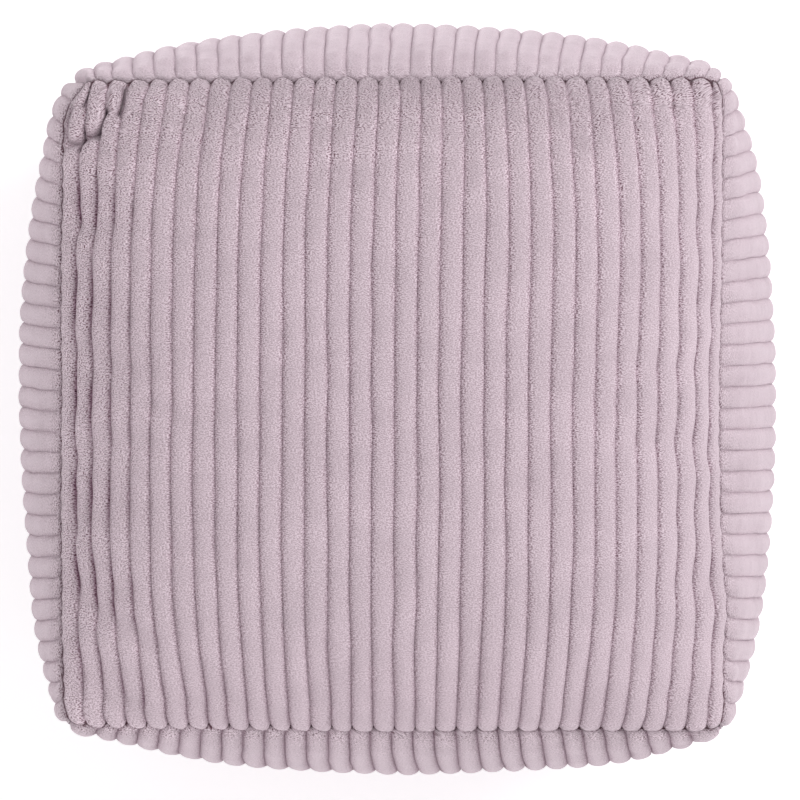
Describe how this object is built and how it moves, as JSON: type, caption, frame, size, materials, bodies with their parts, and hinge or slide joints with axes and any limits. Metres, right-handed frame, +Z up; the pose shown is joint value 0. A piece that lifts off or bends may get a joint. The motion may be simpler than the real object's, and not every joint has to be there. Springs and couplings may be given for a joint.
{
  "type": "square footstool",
  "caption": "Soft square footstool: a filled block in a ribbed plush cover with a crowned top, bulging sides and a flat base, for sitting on or resting feet.",
  "frame": {"origin": "middle of the underside, on the floor", "axes": "+Z up through the crown of the top, +Y along the ribs of the top, +X across them"},
  "size_m": [0.4092, 0.4048, 0.3898],
  "materials": {
    "cover": "wide-ribbed plush corduroy, short pile, soft sheen"
  },
  "bodies": {
    "root": {"top_panel": "cover", "side_east": "cover", "side_north": "cover", "side_west": "cover", "side_south": "cover", "base_panel": "cover"}
  },
  "joints": []
}
